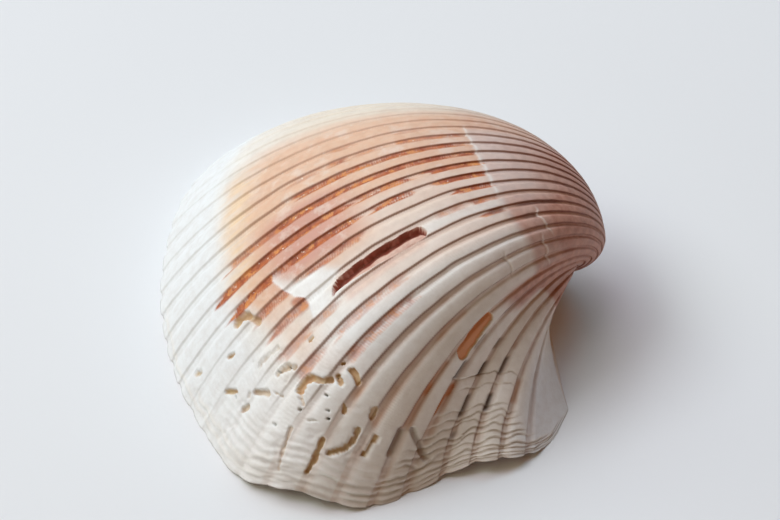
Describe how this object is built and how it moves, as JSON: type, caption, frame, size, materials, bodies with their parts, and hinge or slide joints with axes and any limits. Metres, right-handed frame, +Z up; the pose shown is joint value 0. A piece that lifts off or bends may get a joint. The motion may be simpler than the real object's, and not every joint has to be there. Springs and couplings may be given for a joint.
{
  "type": "cockle shell",
  "caption": "Single thick, strongly arched cockle valve with radial ribs and a hooked beak, lying on its rim with the convex side up and the hollow below.",
  "frame": {"origin": "middle of the bounding box at the level of the table, under the dome", "axes": "+Z up, from the rim plane to the top of the dome; Y along the straight hinge; +X towards the beak, -X towards the middle of the free rim"},
  "size_m": [0.0462, 0.0626, 0.0208],
  "materials": {
    "shell": "satin, weathered and chalky"
  },
  "bodies": {
    "root": {"shell_valve": "shell"}
  },
  "joints": []
}
